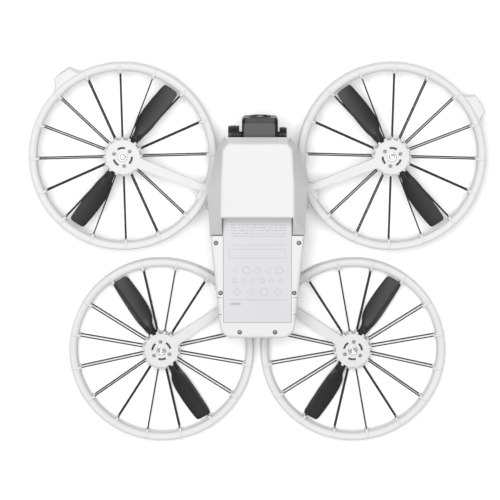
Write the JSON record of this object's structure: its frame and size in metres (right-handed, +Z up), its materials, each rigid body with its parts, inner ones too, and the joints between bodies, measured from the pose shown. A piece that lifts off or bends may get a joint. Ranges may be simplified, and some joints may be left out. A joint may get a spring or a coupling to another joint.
{
  "type": "folding camera drone with full propeller guards",
  "caption": "Folding camera drone: narrow body with a gimbal camera in its nose and spoked full-circle propeller guards that swing down under it.",
  "frame": {"origin": "on the ground, under the middle of the unfolded drone's outline", "axes": "+Z up, nose towards -Y, the drone's own left towards +X"},
  "size_m": [0.277, 0.236, 0.079],
  "materials": {
    "body_white": "fine satin moulding",
    "guard_white": "satin moulding",
    "hub_white": "satin moulding",
    "spoke_dark": "drawn carbon rod",
    "blade_dark": "moulded, faint grain",
    "motor_metal": "turned",
    "motor_copper": "enamelled winding",
    "screw_steel": "socket heads",
    "pin_steel": "ground",
    "camera_dark": "fine texture",
    "gimbal_dark": "anodised dark",
    "lens_glass": "coated",
    "window_dark": "sensor window",
    "plate_grey": "faint printed tint",
    "cell_foil": "foil pouch",
    "board_green": "solder mask",
    "contact_gold": "plated",
    "button_grey": "satin"
  },
  "bodies": {
    "airframe": {"chassis_tub": "body_white", "head_shell": "body_white", "main_board": "board_green", "hinge_pins": "pin_steel", "downward_sensor_lenses": "window_dark", "battery_contacts": "contact_gold"},
    "battery": {"battery_case": "body_white", "battery_cells": "cell_foil", "marking_plate": "plate_grey", "battery_screws": "screw_steel"},
    "left_buckle": {"buckle_left": "button_grey"},
    "right_buckle": {"buckle_right": "button_grey"},
    "button": {"power_button": "button_grey"},
    "gimbal_yaw": {"gimbal_yaw_bracket": "gimbal_dark"},
    "gimbal_roll": {"gimbal_roll_fork": "gimbal_dark"},
    "camera": {"camera_housing": "camera_dark", "camera_lens_barrel": "camera_dark", "camera_lens_glass": "lens_glass"},
    "front_left_disc": {"front_left_arm": "hub_white", "front_left_guard_ring": "guard_white", "front_left_upper_spokes": "spoke_dark", "front_left_lower_spokes": "spoke_dark", "front_left_lower_hub": "hub_white", "front_left_motor_stator": "motor_copper", "front_left_motor_screws": "screw_steel"},
    "front_left_rotor": {"front_left_motor_bell": "motor_metal"},
    "front_left_blade_a": {"front_left_blade_a": "blade_dark"},
    "front_left_blade_b": {"front_left_blade_b": "blade_dark"},
    "front_right_disc": {"front_right_arm": "hub_white", "front_right_guard_ring": "guard_white", "front_right_upper_spokes": "spoke_dark", "front_right_lower_spokes": "spoke_dark", "front_right_lower_hub": "hub_white", "front_right_motor_stator": "motor_copper", "front_right_motor_screws": "screw_steel"},
    "front_right_rotor": {"front_right_motor_bell": "motor_metal"},
    "front_right_blade_a": {"front_right_blade_a": "blade_dark"},
    "front_right_blade_b": {"front_right_blade_b": "blade_dark"},
    "rear_left_disc": {"rear_left_arm": "hub_white", "rear_left_guard_ring": "guard_white", "rear_left_upper_spokes": "spoke_dark", "rear_left_lower_spokes": "spoke_dark", "rear_left_lower_hub": "hub_white", "rear_left_motor_stator": "motor_copper", "rear_left_motor_screws": "screw_steel"},
    "rear_left_rotor": {"rear_left_motor_bell": "motor_metal"},
    "rear_left_blade_a": {"rear_left_blade_a": "blade_dark"},
    "rear_left_blade_b": {"rear_left_blade_b": "blade_dark"},
    "rear_right_disc": {"rear_right_arm": "hub_white", "rear_right_guard_ring": "guard_white", "rear_right_upper_spokes": "spoke_dark", "rear_right_lower_spokes": "spoke_dark", "rear_right_lower_hub": "hub_white", "rear_right_motor_stator": "motor_copper", "rear_right_motor_screws": "screw_steel"},
    "rear_right_rotor": {"rear_right_motor_bell": "motor_metal"},
    "rear_right_blade_a": {"rear_right_blade_a": "blade_dark"},
    "rear_right_blade_b": {"rear_right_blade_b": "blade_dark"}
  },
  "joints": [
    {"name": "front_left_fold", "type": "hinge", "parent": "airframe", "child": "front_left_disc", "pos_m": [0.02454, -0.04262, 0.02124], "axis": [0.2917, 0.911, 0.2917], "range_deg": [0, 95.33]},
    {"name": "front_left_spin", "type": "hinge", "parent": "front_left_disc", "child": "front_left_rotor", "pos_m": [0.0815, -0.061, 0.0217], "axis": [0, 0, 1], "continuous": true},
    {"name": "front_left_blade_a_swing", "type": "hinge", "parent": "front_left_rotor", "child": "front_left_blade_a", "pos_m": [0.08953, -0.04953, 0.0217], "axis": [0, 0, 1], "range_deg": [-50, 50]},
    {"name": "front_left_blade_b_swing", "type": "hinge", "parent": "front_left_rotor", "child": "front_left_blade_b", "pos_m": [0.07327, -0.07233, 0.0217], "axis": [0, 0, 1], "range_deg": [-50, 50]},
    {"name": "front_right_fold", "type": "hinge", "parent": "airframe", "child": "front_right_disc", "pos_m": [-0.02454, -0.04262, 0.02124], "axis": [0.2917, -0.911, -0.2917], "range_deg": [0, 95.33]},
    {"name": "front_right_spin", "type": "hinge", "parent": "front_right_disc", "child": "front_right_rotor", "pos_m": [-0.0815, -0.061, 0.0217], "axis": [0, 0, 1], "continuous": true},
    {"name": "front_right_blade_a_swing", "type": "hinge", "parent": "front_right_rotor", "child": "front_right_blade_a", "pos_m": [-0.08953, -0.04953, 0.0217], "axis": [0, 0, 1], "range_deg": [-50, 50]},
    {"name": "front_right_blade_b_swing", "type": "hinge", "parent": "front_right_rotor", "child": "front_right_blade_b", "pos_m": [-0.07327, -0.07233, 0.0217], "axis": [0, 0, 1], "range_deg": [-50, 50]},
    {"name": "rear_left_fold", "type": "hinge", "parent": "airframe", "child": "rear_left_disc", "pos_m": [0.00973, 0.03983, 0.00843], "axis": [-0.3785, 0.8447, -0.3785], "range_deg": [0, 99.62]},
    {"name": "rear_left_spin", "type": "hinge", "parent": "rear_left_disc", "child": "rear_left_rotor", "pos_m": [0.0592, 0.061, 0.0062], "axis": [0, 0, 1], "continuous": true},
    {"name": "rear_left_blade_a_swing", "type": "hinge", "parent": "rear_left_rotor", "child": "rear_left_blade_a", "pos_m": [0.05189, 0.07294, 0.0062], "axis": [0, 0, 1], "range_deg": [-50, 50]},
    {"name": "rear_left_blade_b_swing", "type": "hinge", "parent": "rear_left_rotor", "child": "rear_left_blade_b", "pos_m": [0.06641, 0.049, 0.0062], "axis": [0, 0, 1], "range_deg": [-50, 50]},
    {"name": "rear_right_fold", "type": "hinge", "parent": "airframe", "child": "rear_right_disc", "pos_m": [-0.00973, 0.03983, 0.00843], "axis": [-0.3785, -0.8447, 0.3785], "range_deg": [0, 99.62]},
    {"name": "rear_right_spin", "type": "hinge", "parent": "rear_right_disc", "child": "rear_right_rotor", "pos_m": [-0.0592, 0.061, 0.0062], "axis": [0, 0, 1], "continuous": true},
    {"name": "rear_right_blade_a_swing", "type": "hinge", "parent": "rear_right_rotor", "child": "rear_right_blade_a", "pos_m": [-0.05189, 0.07294, 0.0062], "axis": [0, 0, 1], "range_deg": [-50, 50]},
    {"name": "rear_right_blade_b_swing", "type": "hinge", "parent": "rear_right_rotor", "child": "rear_right_blade_b", "pos_m": [-0.06641, 0.049, 0.0062], "axis": [0, 0, 1], "range_deg": [-50, 50]},
    {"name": "battery_slide", "type": "slide", "parent": "airframe", "child": "battery", "axis": [0, 1, 0], "range_m": [0, 0.065]},
    {"name": "left_buckle_press", "type": "slide", "parent": "battery", "child": "left_buckle", "axis": [-1, 0, 0], "range_m": [0, 0.0008], "stiffness_N_per_m": 600},
    {"name": "right_buckle_press", "type": "slide", "parent": "battery", "child": "right_buckle", "axis": [1, 0, 0], "range_m": [0, 0.0008], "stiffness_N_per_m": 600},
    {"name": "power_press", "type": "slide", "parent": "battery", "child": "button", "axis": [0, -1, 0], "range_m": [0, 0.0006], "stiffness_N_per_m": 600},
    {"name": "gimbal_yaw_turn", "type": "hinge", "parent": "airframe", "child": "gimbal_yaw", "pos_m": [0, -0.062, 0.065], "axis": [0, 0, 1], "range_deg": [-5, 5]},
    {"name": "gimbal_roll_turn", "type": "hinge", "parent": "gimbal_yaw", "child": "gimbal_roll", "pos_m": [0, -0.0594, 0.051], "axis": [0, 1, 0], "range_deg": [-8, 8]},
    {"name": "camera_tilt", "type": "hinge", "parent": "gimbal_roll", "child": "camera", "pos_m": [0, -0.077, 0.051], "axis": [1, 0, 0], "range_deg": [-35, 90]}
  ],
  "couplings": [
    {"joint": "rear_left_fold", "follows": "front_left_fold", "ratio": 1.045},
    {"joint": "rear_right_fold", "follows": "front_right_fold", "ratio": 1.045}
  ]
}
